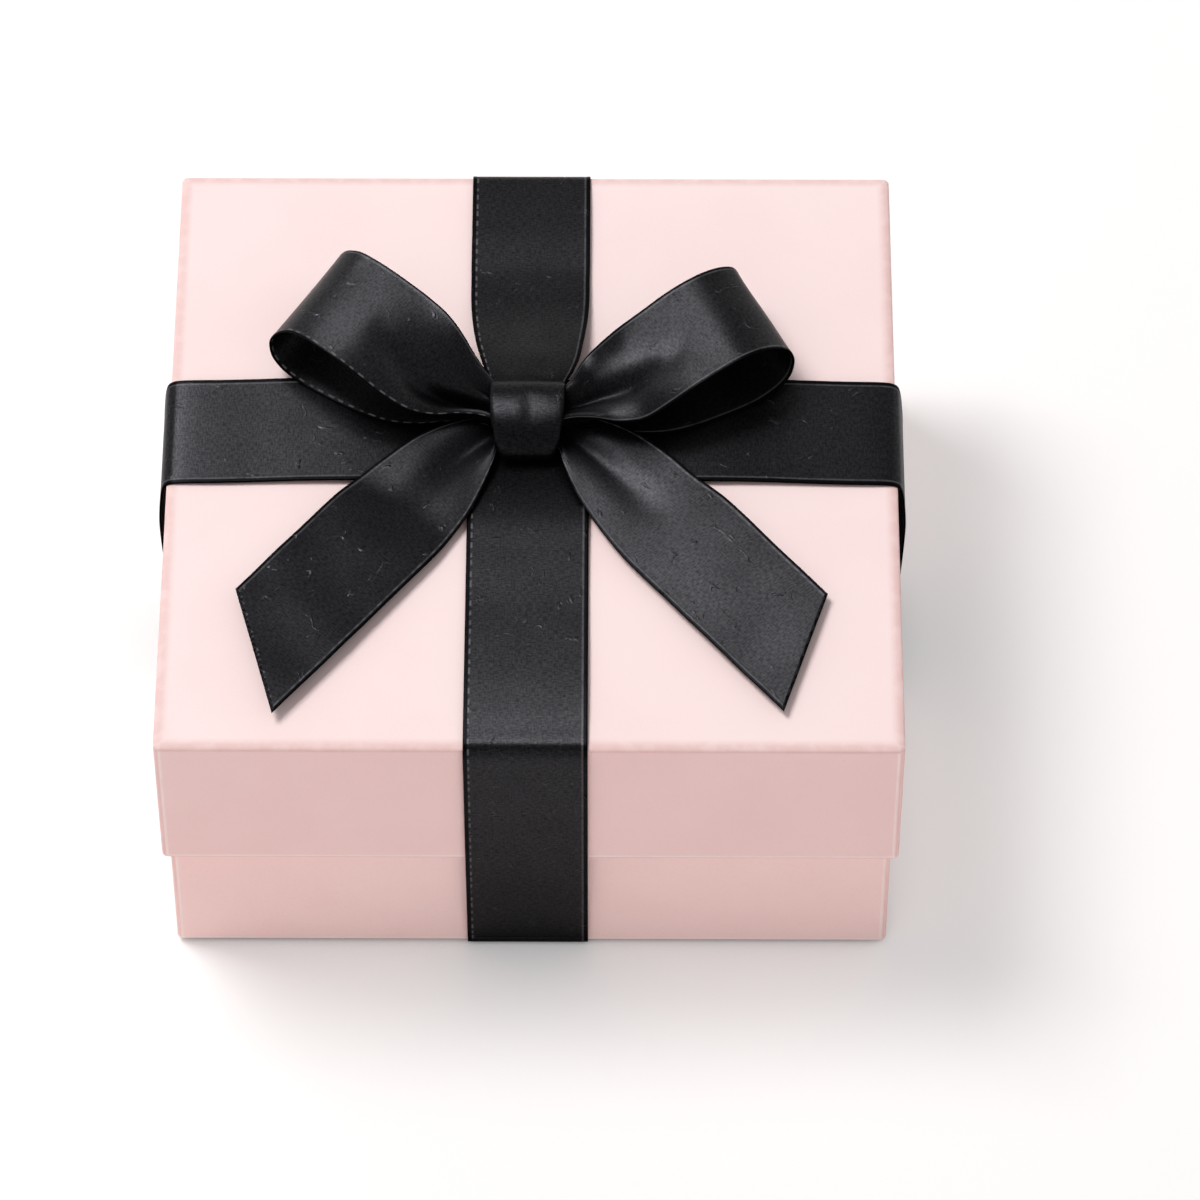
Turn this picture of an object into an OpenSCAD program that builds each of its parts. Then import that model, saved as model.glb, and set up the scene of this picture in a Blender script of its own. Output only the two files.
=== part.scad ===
// Square gift box with a lift-off lid, tied both ways with ribbon and finished with a bow.
// Millimetres, +Z up. The origin is on the table under the middle of the box.
// The ribbon's pieces are cut at its bends: each strip, arm, fall, loop and tail is one piece.

/* [Box] */
// Outer width and depth of the square base
base_w = 150; // [110:1:240]
// Height of the closed box, from its underside to the top of the lid
box_h = 71; // [55:0.5:140]
// Height of the lid, from its rim to its top
lid_h = 38.5; // [24:0.5:48]
// Clearance between the base's wall and the lid's lining paper
lid_fit = 0.3; // [0.2:0.05:1.5]
// Play between the base's rim and the lid's lining
rim_play = 0.3; // [0.2:0.05:1]

/* [Board and paper] */
// Thickness of the base's greyboard
base_board_t = 1.5; // [1:0.1:3]
// Thickness of the lid's greyboard
lid_board_t = 0.9; // [0.8:0.1:2]
// Thickness of the covering and lining papers
paper_t = 0.15; // [0.1:0.01:0.3]
// Depth of the covering paper that is turned in over a rim
turn_in = 18; // [8:0.5:22]
// Thickness of the tape that joins the board's corners, and of the glue beside it
stay_t = 0.1; // [0.06:0.01:0.2]
// Width of the tape on each side of a corner
stay_leg = 12; // [6:0.5:20]
// Bare board above and below each corner's tape
stay_inset = 2; // [1:0.5:5]
// Rounding along the lid's top edges
lid_edge_r = 2; // [1.2:0.1:4]
// Rounding along the base's bottom edges and each rim
rim_r = 0.6; // [0.4:0.1:1.2]
// Rounding of the upright corners
corner_r = 1.2; // [0.8:0.1:4]

/* [Ribbon] */
// Thickness of the ribbon
ribbon_t = 0.5; // [0.3:0.05:1]
// Gap between the ribbon and the lid that it is tied over
ribbon_gap = 0.3; // [0.2:0.05:1]
// Width of the ribbon that runs from front to back
long_w = 25.4; // [12:0.2:40]
// Width of the ribbon that runs from left to right
cross_w = 27.5; // [12:0.2:40]
// Distance of the front-to-back ribbon's middle from the box's middle, along X
long_x = -0.8; // [-15:0.1:15]
// Distance of the left-to-right ribbon's middle from the box's middle, along Y
cross_y = 5.9; // [-15:0.1:15]
// Bend radius of the ribbon under the box, at its middle layer
under_bend_r = 1.5; // [1:0.1:3]
// Height of the turned-up ends of the ribbon under the box
under_lip = 3; // [2.6:0.1:8]
// Cut between a turned-up end and the fall above it
fall_cut = 0.3; // [0.2:0.05:1]

/* [Bow] */
// Place of the bow's middle, along X
bow_x = -1.3; // [-10:0.1:10]
// Place of the bow's middle, along Y
bow_y = 3.5; // [-10:0.1:10]
// Width of the knot, from left to right
knot_w = 15.5; // [12:0.5:24]
// Width of the knot at its front, where it tucks under
knot_front_w = 12.6; // [9:0.5:22]
// Length of the knot, from front to back
knot_l = 17.5; // [15:0.5:26]
// Height of the knot
knot_h = 8; // [7.4:0.1:14]
// Distance of the knot's middle behind the bow's middle
knot_shift = 2.5; // [0:0.1:4]
// Reach of each loop, from the bow's middle to the outside of its fold
loop_reach = 56; // [44:0.5:75]
// Height of each loop above the ribbon that it lies on
loop_h = 16; // [12:0.5:24]
// Length of a loop's rounded end
loop_nose = 9; // [6:0.5:14]
// Direction of the left loop, in degrees from +X
loop_left_dir = 147; // [120:1:170]
// Direction of the right loop, in degrees from +X
loop_right_dir = 27; // [10:1:60]
// Width of a loop where it enters the knot
loop_neck_w = 7; // [6:0.5:14]
// Distance from the bow's middle at which a loop reaches its full width
loop_open_at = 31; // [26:0.5:40]
// Play between the loops and the tails where they enter the knot
neck_gap = 0.8; // [0.3:0.1:2]
// Width of each tail
tail_w = 26.5; // [12:0.5:40]
// Width of a tail where it enters the knot
tail_neck_w = 7.5; // [5:0.5:10]
// Length of each tail, from its root beside the knot to the middle of its cut end
tail_len = 72; // [50:0.5:100]
// Direction of the left tail, in degrees from +X
tail_left_dir = -129; // [-145:1:-115]
// Direction of the right tail, in degrees from +X
tail_right_dir = -50; // [-65:1:-35]
// Angle of the left tail's cut end to its edges
tail_left_cut = 54; // [35:1:90]
// Angle of the right tail's cut end to its edges
tail_right_cut = 58; // [35:1:90]
// Distance from a tail's root at which its outer edge runs straight
tail_outer_at = 26; // [20:0.5:40]
// Distance from a tail's root at which its edge nearer the front runs straight
tail_inner_at = 52; // [40:0.5:60]

/* [Hidden] */

pink = "#f7dfdd";
grey_board = "#a39a8e";
stay_tape = "#e4d8bd";
lining = "#fbf6f2";
black = "#2b2b2d";

cut = 1;             // how far a cutting solid reaches past what it cuts
arc_steps = 5;       // flats in a small rounded edge
curve_steps = 20;    // flats in a ribbon's curve
seat_gap = 0.1;      // play between one layer of ribbon and the next in the bow

base_z = 2 * ribbon_t;
lid_top = base_z + box_h;
lid_z = lid_top - lid_h;
skin_t = paper_t + stay_t;
lid_w = base_w + 2 * (lid_fit + paper_t + lid_board_t + skin_t);
lid_ceiling = lid_top - skin_t - lid_board_t - paper_t;
base_h = lid_ceiling - rim_play - base_z;

fall_at = lid_w / 2 + ribbon_gap + ribbon_t / 2;
top_at = lid_top + ribbon_gap + ribbon_t / 2;
fall_bend_r = lid_edge_r + ribbon_gap + ribbon_t / 2;
bend_at = fall_at - fall_bend_r;
seam_at = bend_at - 1;    // where a strip on the lid ends and its fall begins
fall_foot = under_lip + fall_cut;
deck = lid_top + ribbon_gap + 2 * ribbon_t;

knot_y = bow_y + knot_shift;
knot_z = deck + seat_gap + knot_h / 2;
knot_rear = knot_y + knot_l / 2;
lay_z = deck + ribbon_t / 2;
tail_z = knot_z - knot_h * 0.28;
loop_low_z = tail_z + ribbon_t + neck_gap;
loop_high_z = knot_z + knot_h * 0.2;
tail_left_root = [-9.6, -0.4];    // from the bow's middle
tail_right_root = [11.4, -1.7];
tail_neck_y = 0;

// ---- curves and outlines ----

function reversed(p) = [for (i = [len(p) - 1:-1:0]) p[i]];

function arc(centre, r, from, to) =
    [for (i = [0:arc_steps]) let (a = from + (to - from) * i / arc_steps)
        centre + r * [cos(a), sin(a)]];

// A cubic curve from p[0] to p[3], pulled towards p[1] and p[2].
function curve(p) =
    [for (i = [0:curve_steps]) let (t = i / curve_steps, s = 1 - t)
        s * s * s * p[0] + 3 * s * s * t * p[1] + 3 * s * t * t * p[2] + t * t * t * p[3]];

function heading(p, i) =
    let (a = p[max(i - 1, 0)], b = p[min(i + 1, len(p) - 1)]) (b - a) / norm(b - a);

function beside(p, d) =
    [for (i = [0:len(p) - 1]) let (u = heading(p, i)) p[i] + d * [-u[1], u[0]]];

// The outline of a strip of thickness t that follows the path p.
function strip(p, t) = concat(beside(p, t / 2), reversed(beside(p, -t / 2)));

function smooth(x) = let (c = min(max(x, 0), 1)) c * c * (3 - 2 * c);

// A rectangle with its own rounding for the two low corners and the two high ones.
function rounded(half_w, low, high, low_r, high_r) = concat(
    arc([half_w - low_r, low + low_r], low_r, -90, 0),
    arc([half_w - high_r, high - high_r], high_r, 0, 90),
    arc([high_r - half_w, high - high_r], high_r, 90, 180),
    arc([low_r - half_w, low + low_r], low_r, 180, 270));

// ---- building blocks ----

// Stands a (horizontal, z) outline up and extrudes it along the other axis, centred.
module along_y(width) {
    rotate([90, 0, 0]) linear_extrude(width, center = true) children();
}

module along_x(width) {
    rotate([90, 0, 90]) linear_extrude(width, center = true) children();
}

// A square block with rounded edges, from z = low to z = high.
module soft_block(w, low, high, low_r, high_r, upright_r) {
    intersection() {
        translate([0, 0, low])
            linear_extrude(high - low)
                polygon(rounded(w / 2, -w / 2, w / 2, upright_r, upright_r));
        along_y(w) polygon(rounded(w / 2, low, high, low_r, high_r));
        along_x(w) polygon(rounded(w / 2, low, high, low_r, high_r));
    }
}

module prism(w, low, high) {
    translate([-w / 2, -w / 2, low]) cube([w, w, high - low]);
}

// Keeps the part of its child within one leg of each upright corner.
module at_corners(w, leg, low, high) {
    for (sx = [-1, 1], sy = [-1, 1])
        intersection() {
            children();
            translate([sx * (w - leg) / 2, sy * (w - leg) / 2, (low + high) / 2])
                cube([leg, leg, high - low], center = true);
        }
}

// ---- box: base ----

base_cavity_w = base_w - 2 * (skin_t + base_board_t);
base_floor = base_z + skin_t + base_board_t;
base_rim = base_z + base_h;

module base_core(inset) {
    soft_block(base_w - 2 * inset, base_z + inset, base_rim - inset,
               rim_r - inset / 2, rim_r - inset / 2, corner_r - inset / 2);
}

module base_board() {
    color(grey_board) difference() {
        base_core(skin_t);
        prism(base_cavity_w, base_floor, base_rim + cut);
    }
}

module base_stays() {
    color(stay_tape)
        at_corners(base_w, 2 * stay_leg, base_z + stay_inset, base_rim - stay_inset)
            difference() {
                base_core(paper_t);
                base_core(skin_t);
            }
}

module base_wrap() {
    color(pink) difference() {
        union() {
            difference() {
                base_core(0);
                base_core(paper_t);
            }
            difference() {
                prism(base_cavity_w, base_rim - turn_in, base_rim - paper_t / 2);
                prism(base_cavity_w - 2 * paper_t, base_rim - turn_in - cut, base_rim + cut);
            }
            difference() {
                prism(base_w - 2 * corner_r, base_rim - skin_t, base_rim - paper_t / 2);
                prism(base_cavity_w - paper_t, base_rim - skin_t - cut, base_rim + cut);
            }
        }
        prism(base_cavity_w - 2 * paper_t, base_rim - turn_in, base_rim + cut);
    }
}

module base_liner() {
    color(lining) difference() {
        prism(base_cavity_w, base_floor, base_rim - turn_in);
        prism(base_cavity_w - 2 * paper_t, base_floor + paper_t, base_rim);
    }
}

// ---- box: lid ----

lid_cavity_w = lid_w - 2 * (skin_t + lid_board_t);
lid_board_low = lid_top - skin_t - lid_board_t;

module lid_core(inset) {
    soft_block(lid_w - 2 * inset, lid_z + inset, lid_top - inset,
               rim_r - inset / 2, lid_edge_r - inset, corner_r - inset / 2);
}

module lid_board() {
    color(grey_board) difference() {
        lid_core(skin_t);
        prism(lid_cavity_w, lid_z - cut, lid_board_low);
    }
}

module lid_stays() {
    color(stay_tape)
        at_corners(lid_w, 2 * stay_leg, lid_z + stay_inset, lid_top - stay_inset)
            difference() {
                lid_core(paper_t);
                lid_core(skin_t);
            }
}

module lid_wrap() {
    color(pink) difference() {
        union() {
            difference() {
                lid_core(0);
                lid_core(paper_t);
            }
            difference() {
                prism(lid_cavity_w, lid_z + paper_t / 2, lid_z + turn_in);
                prism(lid_cavity_w - 2 * paper_t, lid_z - cut, lid_z + turn_in + cut);
            }
            difference() {
                prism(lid_w - 2 * corner_r, lid_z + paper_t / 2, lid_z + skin_t);
                prism(lid_cavity_w - paper_t, lid_z - cut, lid_z + skin_t + cut);
            }
        }
        prism(lid_cavity_w - 2 * paper_t, lid_z - cut, lid_z + turn_in);
    }
}

module lid_liner() {
    color(lining) difference() {
        prism(lid_cavity_w, lid_z + turn_in, lid_board_low);
        prism(lid_cavity_w - 2 * paper_t, lid_z, lid_board_low - paper_t);
    }
}

// ---- ribbon round the box ----

// Half of a run under the box: its turned-up end, its bend and where it lies flat.
function under_end() = concat(
    [[fall_at, under_lip]],
    reversed(arc([fall_at - under_bend_r, ribbon_t / 2 + under_bend_r], under_bend_r, -90, 0)));

function mirrored(p) = [for (q = p) [-q[0], q[1]]];

module ribbon_under_long() {
    path = concat(under_end(), reversed(mirrored(under_end())));
    color(black) translate([long_x, 0, 0]) along_x(long_w) polygon(strip(path, ribbon_t));
}

// This run steps up over the other one, where the two cross.
module ribbon_under_cross() {
    reach = long_w / 2 + 0.8;
    step = 5;
    over = [[long_x + reach + step, ribbon_t / 2], [long_x + reach, ribbon_t * 1.5],
            [long_x - reach, ribbon_t * 1.5], [long_x - reach - step, ribbon_t / 2]];
    path = concat(under_end(), over, reversed(mirrored(under_end())));
    color(black) translate([0, cross_y, 0]) along_y(cross_w) polygon(strip(path, ribbon_t));
}

// A fall: the bend over the lid's edge and the straight stretch down to the table.
function fall_path() = concat(
    [[seam_at, top_at]],
    reversed(arc([bend_at, top_at - fall_bend_r], fall_bend_r, 0, 90)),
    [[fall_at, fall_foot]]);

module fall(width) {
    along_y(width) polygon(strip(fall_path(), ribbon_t));
}

module ribbon_top_cross() {
    color(black) translate([-seam_at, cross_y - cross_w / 2, lid_top + ribbon_gap])
        cube([2 * seam_at, cross_w, ribbon_t]);
}

module ribbon_fall_left() {
    color(black) translate([0, cross_y, 0]) rotate(180) fall(cross_w);
}

module ribbon_fall_right() {
    color(black) translate([0, cross_y, 0]) fall(cross_w);
}

module ribbon_fall_front() {
    color(black) translate([long_x, 0, 0]) rotate(-90) fall(long_w);
}

module ribbon_fall_rear() {
    color(black) translate([long_x, 0, 0]) rotate(90) fall(long_w);
}

// The front arm lies on the lid, steps up over the crossing ribbon and ends under the knot.
module ribbon_arm_front() {
    step = 6;
    edge = cross_y - cross_w / 2 - 0.8;
    path = [[-seam_at, top_at], [edge - step, top_at], [edge, top_at + ribbon_t],
            [knot_y, top_at + ribbon_t]];
    color(black) translate([long_x, 0, 0]) along_x(long_w) polygon(strip(path, ribbon_t));
}

arm_rise_at = cross_y + cross_w / 2 + 18;    // where the rear arm leaves the lid
arm_neck_z = knot_z + knot_h / 2 - 1.6;

// The rear arm narrows and climbs to the top of the knot, which its ribbon then wraps.
module ribbon_arm_rear() {
    end = knot_rear + seat_gap;
    flat = [seam_at, top_at];
    rise = curve([[arm_rise_at, top_at], [arm_rise_at - 12, top_at],
                  [end + 8, arm_neck_z - 1.6], [end, arm_neck_z]]);
    edge = curve([[long_w / 2, arm_rise_at + 4], [long_w / 2, arm_rise_at - 9],
                  [knot_w / 2 + 0.6, end + 7], [knot_w / 2, end - cut]]);
    color(black) translate([long_x, 0, 0]) intersection() {
        along_x(long_w) polygon(strip(concat([flat], rise), ribbon_t));
        linear_extrude(lid_top + 2 * knot_h)
            polygon(concat([[long_w / 2, seam_at + cut]], edge,
                           reversed(mirrored(edge)), [[-long_w / 2, seam_at + cut]]));
    }
}

// ---- bow ----

// An oval with squarer shoulders than an ellipse has.
function pillow(half_l, half_h) =
    let (n = 4 * arc_steps * 2)
    [for (i = [0:n - 1]) let (a = 360 * i / n, c = cos(a), s = sin(a))
        [half_l * sign(c) * pow(abs(c), 0.8), half_h * sign(s) * pow(abs(s), 0.8)]];

// The knot is a hollow band round the necks of the loops and tails.
module bow_knot() {
    color(black) intersection() {
        translate([bow_x, knot_y, knot_z]) along_x(knot_w) difference() {
            polygon(pillow(knot_l / 2, knot_h / 2));
            polygon(pillow(knot_l / 2 - ribbon_t, knot_h / 2 - ribbon_t));
        }
        translate([bow_x, knot_y, lid_top])
            linear_extrude(2 * knot_h)
                polygon([[-knot_front_w / 2, -knot_l / 2 - cut], [knot_front_w / 2, -knot_l / 2 - cut],
                         [knot_w / 2, 0], [knot_w / 2, knot_l], [-knot_w / 2, knot_l],
                         [-knot_w / 2, 0]]);
    }
}

// Keeps what lies on one side of the bow's middle: side is -1 for left and 1 for right.
module half_bow(side) {
    reach = loop_reach + tail_len;
    intersection() {
        children();
        translate([bow_x + side * (reach / 2 + seat_gap), bow_y, lid_top + loop_h])
            cube([reach, 4 * reach, 4 * loop_h], center = true);
    }
}

// A loop's path, out along its top from the knot, round its nose and back along its bottom.
function loop_path() =
    let (crown = lay_z + loop_h, nose = loop_reach - ribbon_t / 2, back = nose - loop_nose,
         mid = (crown + lay_z) / 2)
    concat(
        [[0, loop_high_z]],
        curve([[8, loop_high_z], [18, loop_high_z + 0.5], [back - 18, crown], [back - 2, crown]]),
        curve([[back, crown], [nose - 2, crown], [nose, mid + 4], [nose, mid]]),
        curve([[nose, mid - 0.4], [nose, mid - 5], [back + 3, lay_z], [back - 6, lay_z]]),
        curve([[loop_open_at + 5, lay_z], [loop_open_at - 4, lay_z],
               [loop_open_at - 6, loop_low_z], [loop_open_at - 13, loop_low_z]]),
        [[0, loop_low_z]]);

// Half of a loop's width, s from the bow's middle.
function loop_half(s) =
    let (neck = knot_w / 2 + 1)
    (loop_neck_w + (long_w - loop_neck_w) * smooth((s - neck) / (loop_open_at - neck))) / 2;

module bow_loop(side, dir) {
    far = loop_reach + cut;
    edge = [for (i = [0:curve_steps]) let (s = far * i / curve_steps) [s, loop_half(s)]];
    color(black) half_bow(side)
        translate([bow_x, bow_y, 0]) rotate(dir) intersection() {
            along_y(long_w) polygon(strip(loop_path(), ribbon_t));
            linear_extrude(lid_top + 3 * loop_h)
                polygon(concat(edge, reversed([for (q = edge) [q[0], -q[1]]])));
        }
}

module bow_loop_left() {
    bow_loop(-1, loop_left_dir);
}

module bow_loop_right() {
    bow_loop(1, loop_right_dir);
}

// A tail fans out from its neck in the knot, then runs straight to its slanting cut.
// u runs along the tail and v towards its outer edge; all of it is from the bow's middle.
function tail_outline(side, dir, cut_angle, root) =
    let (u = [cos(dir), sin(dir)], v = [-u[1], u[0]] * side,
         half = tail_w / 2, slant = half / tan(cut_angle), end = root + tail_len * u,
         outer = root + v * half, inner = root - v * half,
         neck_x = side * knot_w / 2,
         high = tail_neck_y + tail_neck_w / 2, low = tail_neck_y - tail_neck_w / 2)
    concat(
        [[0, high]],
        curve([[neck_x, high], [neck_x + side * 14, high],
               outer + u * tail_outer_at / 3, outer + u * tail_outer_at]),
        [end + v * half - u * slant, end - v * half + u * slant],
        curve([inner + u * tail_inner_at, inner + u * tail_inner_at * 0.58,
               [neck_x, low - 12], [neck_x, low]]),
        [[0, low]]);

module bow_tail(side, dir, cut_angle, root) {
    u = [cos(dir), sin(dir)];
    dip = 12;
    path = concat([[-4 * dip, tail_z], [root * u - dip / 2, tail_z]],
                  curve([[root * u, tail_z], [root * u + dip / 2, tail_z],
                         [root * u + dip / 2, lay_z], [root * u + dip, lay_z]]),
                  [[tail_len * 2, lay_z]]);
    color(black) half_bow(side)
        translate([bow_x, bow_y, 0]) intersection() {
            rotate(dir) along_y(6 * tail_w) polygon(strip(path, ribbon_t));
            linear_extrude(lid_top + knot_h) polygon(tail_outline(side, dir, cut_angle, root));
        }
}

module bow_tail_left() {
    bow_tail(-1, tail_left_dir, tail_left_cut, tail_left_root);
}

module bow_tail_right() {
    bow_tail(1, tail_right_dir, tail_right_cut, tail_right_root);
}

base_board();
base_stays();
base_wrap();
base_liner();
lid_board();
lid_stays();
lid_wrap();
lid_liner();
ribbon_under_long();
ribbon_under_cross();
ribbon_top_cross();
ribbon_fall_left();
ribbon_fall_right();
ribbon_arm_front();
ribbon_arm_rear();
ribbon_fall_front();
ribbon_fall_rear();
bow_knot();
bow_loop_left();
bow_loop_right();
bow_tail_left();
bow_tail_right();
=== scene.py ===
import logging
import math
from dataclasses import dataclass
from enum import Enum

import bmesh
import bpy
from mathutils import Matrix, Vector, noise


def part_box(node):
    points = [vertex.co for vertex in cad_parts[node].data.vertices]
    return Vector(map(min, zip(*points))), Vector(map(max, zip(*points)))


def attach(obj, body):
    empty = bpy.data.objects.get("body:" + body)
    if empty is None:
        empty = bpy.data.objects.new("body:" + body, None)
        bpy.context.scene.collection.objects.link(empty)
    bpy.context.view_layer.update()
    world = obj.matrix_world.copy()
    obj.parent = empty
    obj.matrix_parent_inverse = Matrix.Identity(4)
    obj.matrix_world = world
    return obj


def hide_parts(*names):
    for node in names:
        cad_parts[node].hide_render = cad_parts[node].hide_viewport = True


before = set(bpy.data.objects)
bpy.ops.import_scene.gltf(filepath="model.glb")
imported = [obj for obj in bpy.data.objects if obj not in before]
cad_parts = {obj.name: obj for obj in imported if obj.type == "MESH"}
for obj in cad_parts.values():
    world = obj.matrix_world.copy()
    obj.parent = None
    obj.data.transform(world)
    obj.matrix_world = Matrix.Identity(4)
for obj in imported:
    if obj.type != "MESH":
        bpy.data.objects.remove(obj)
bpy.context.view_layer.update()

MM = 0.001
LOG = logging.getLogger("gift_box")

LID_LOW, LID_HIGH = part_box("lid_wrap")
BASE_LOW, BASE_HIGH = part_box("base_wrap")
LID_TOP = LID_HIGH.z / MM
LID_RIM = LID_LOW.z / MM
BASE_RIM = BASE_HIGH.z / MM
BASE_FOOT = BASE_LOW.z / MM

Pair = tuple[float, float]
Point = tuple[float, float, float]
Colour = tuple[float, float, float, float]
Socket = bpy.types.NodeSocket
Material = bpy.types.Material
Piece = bpy.types.Object

WHITE = (1.0, 1.0, 1.0, 1.0)


# -------- colour and nodes


def srgb(code: str) -> Colour:
    """Turns an sRGB hex colour to the linear colour that a shader takes.

    Args:
        code: The colour, such as "#f6dedb".

    Returns:
        Linear red, green and blue, with an alpha of 1.
    """
    channels = [int(code[i:i + 2], 16) / 255 for i in (1, 3, 5)]
    linear = [c / 12.92 if c <= 0.04045 else ((c + 0.055) / 1.055) ** 2.4 for c in channels]
    return (linear[0], linear[1], linear[2], 1.0)


class Step(Enum):
    """The steps that a pattern is worked out in: node type, settings, inputs in order, and output."""

    TIMES = ("ShaderNodeMath", {"operation": "MULTIPLY"}, (0, 1), 0)
    PLUS = ("ShaderNodeMath", {"operation": "ADD"}, (0, 1), 0)
    MINUS = ("ShaderNodeMath", {"operation": "SUBTRACT"}, (0, 1), 0)
    LEAST = ("ShaderNodeMath", {"operation": "MINIMUM"}, (0, 1), 0)
    MOST = ("ShaderNodeMath", {"operation": "MAXIMUM"}, (0, 1), 0)
    SIZE = ("ShaderNodeMath", {"operation": "ABSOLUTE"}, (0,), 0)
    SINE = ("ShaderNodeMath", {"operation": "SINE"}, (0,), 0)
    RAMP = ("ShaderNodeMapRange", {"interpolation_type": "SMOOTHSTEP"}, (0, 1, 2, 3, 4), 0)
    BLEND = ("ShaderNodeMix", {"data_type": "RGBA"}, (0, 6, 7), 2)
    NOISE = ("ShaderNodeTexNoise", {}, ("Vector", "Scale", "Detail", "Roughness", "Distortion"), 0)
    BUMP = ("ShaderNodeBump", {}, ("Strength", "Distance", "Height"), 0)
    OPEN_AIR = ("ShaderNodeAmbientOcclusion", {"samples": 6}, ("Distance",), "AO")
    PLACE = ("ShaderNodeTexCoord", {}, (), "Object")
    SURFACE = ("ShaderNodeBsdfPrincipled", {},
               ("Base Color", "Roughness", "Specular IOR Level", "Normal", "Specular Tint",
                "Anisotropic", "Anisotropic Rotation", "Tangent"), 0)


class Shader:
    """A node tree while it is being put together."""

    def __init__(self, owner: Material | bpy.types.World) -> None:
        """Starts an empty tree on a material or on the world."""
        owner.use_nodes = True
        self.owner = owner
        self.tree = owner.node_tree
        self.tree.nodes.clear()

    def node(self, kind: str, settings: dict | None = None, links: dict | None = None) -> bpy.types.Node:
        """Adds one node.

        Args:
            kind: The node's type name in Blender, such as "ShaderNodeMath".
            settings: Its properties.
            links: Its inputs by name or number, each a value or another node's output socket.

        Returns:
            The new node.
        """
        made = self.tree.nodes.new(kind)
        for key, value in (settings or {}).items():
            setattr(made, key, value)
        for key, value in (links or {}).items():
            if isinstance(value, Socket):
                self.tree.links.new(value, made.inputs[key])
            else:
                made.inputs[key].default_value = value
        return made

    def run(self, step: Step, *values: object) -> Socket:
        """Adds a step's node.

        Args:
            step: Which step.
            values: Its inputs in order, each a value or a socket. Those left out keep the node's own.

        Returns:
            Its result.
        """
        kind, settings, inputs, output = step.value
        return self.node(kind, settings, dict(zip(inputs, values))).outputs[output]

    def apart(self, value: Socket, middle: float | Socket) -> Socket:
        """How far a value is from a middle."""
        return self.run(Step.SIZE, self.run(Step.MINUS, value, middle))

    def finish(self, surface: Socket) -> Material | bpy.types.World:
        """Joins the surface to the output and returns what the tree is on."""
        kind = "Material" if isinstance(self.owner, Material) else "World"
        self.node("ShaderNodeOutput" + kind, None, {"Surface": surface})
        return self.owner


class ClothShader(Shader):
    """The node tree of a ribbon's finish. It knows how far along and across the cloth a place is."""

    def __init__(self, owner: Material) -> None:
        """Starts the tree and reads the UV map named cloth, in metres, with across going left."""
        super().__init__(owner)
        flat = self.node("ShaderNodeUVMap", {"uv_map": "cloth"}).outputs[0]
        split = self.node("ShaderNodeSeparateXYZ", None, {0: flat}).outputs
        self.along, self.across = (self.run(Step.TIMES, split[i], 1 / MM) for i in range(2))

    def noise(self, run: float, width: float, detail: float = 3.0, distortion: float = 0.0) -> Socket:
        """Adds a noise that is stretched along or across the cloth.

        Args:
            run: Its size along the cloth, in millimetres.
            width: Its size across.
            detail: How many finer layers it has.
            distortion: How much it curls.

        Returns:
            The noise, about 0.5 in the middle of its range.
        """
        at = self.node("ShaderNodeCombineXYZ", None, {0: self.run(Step.TIMES, self.along, 1 / run),
                                                      1: self.run(Step.TIMES, self.across, 1 / width)})
        return self.run(Step.NOISE, at.outputs[0], 1.0, detail, 0.6, distortion)


# -------- finishes


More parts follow.
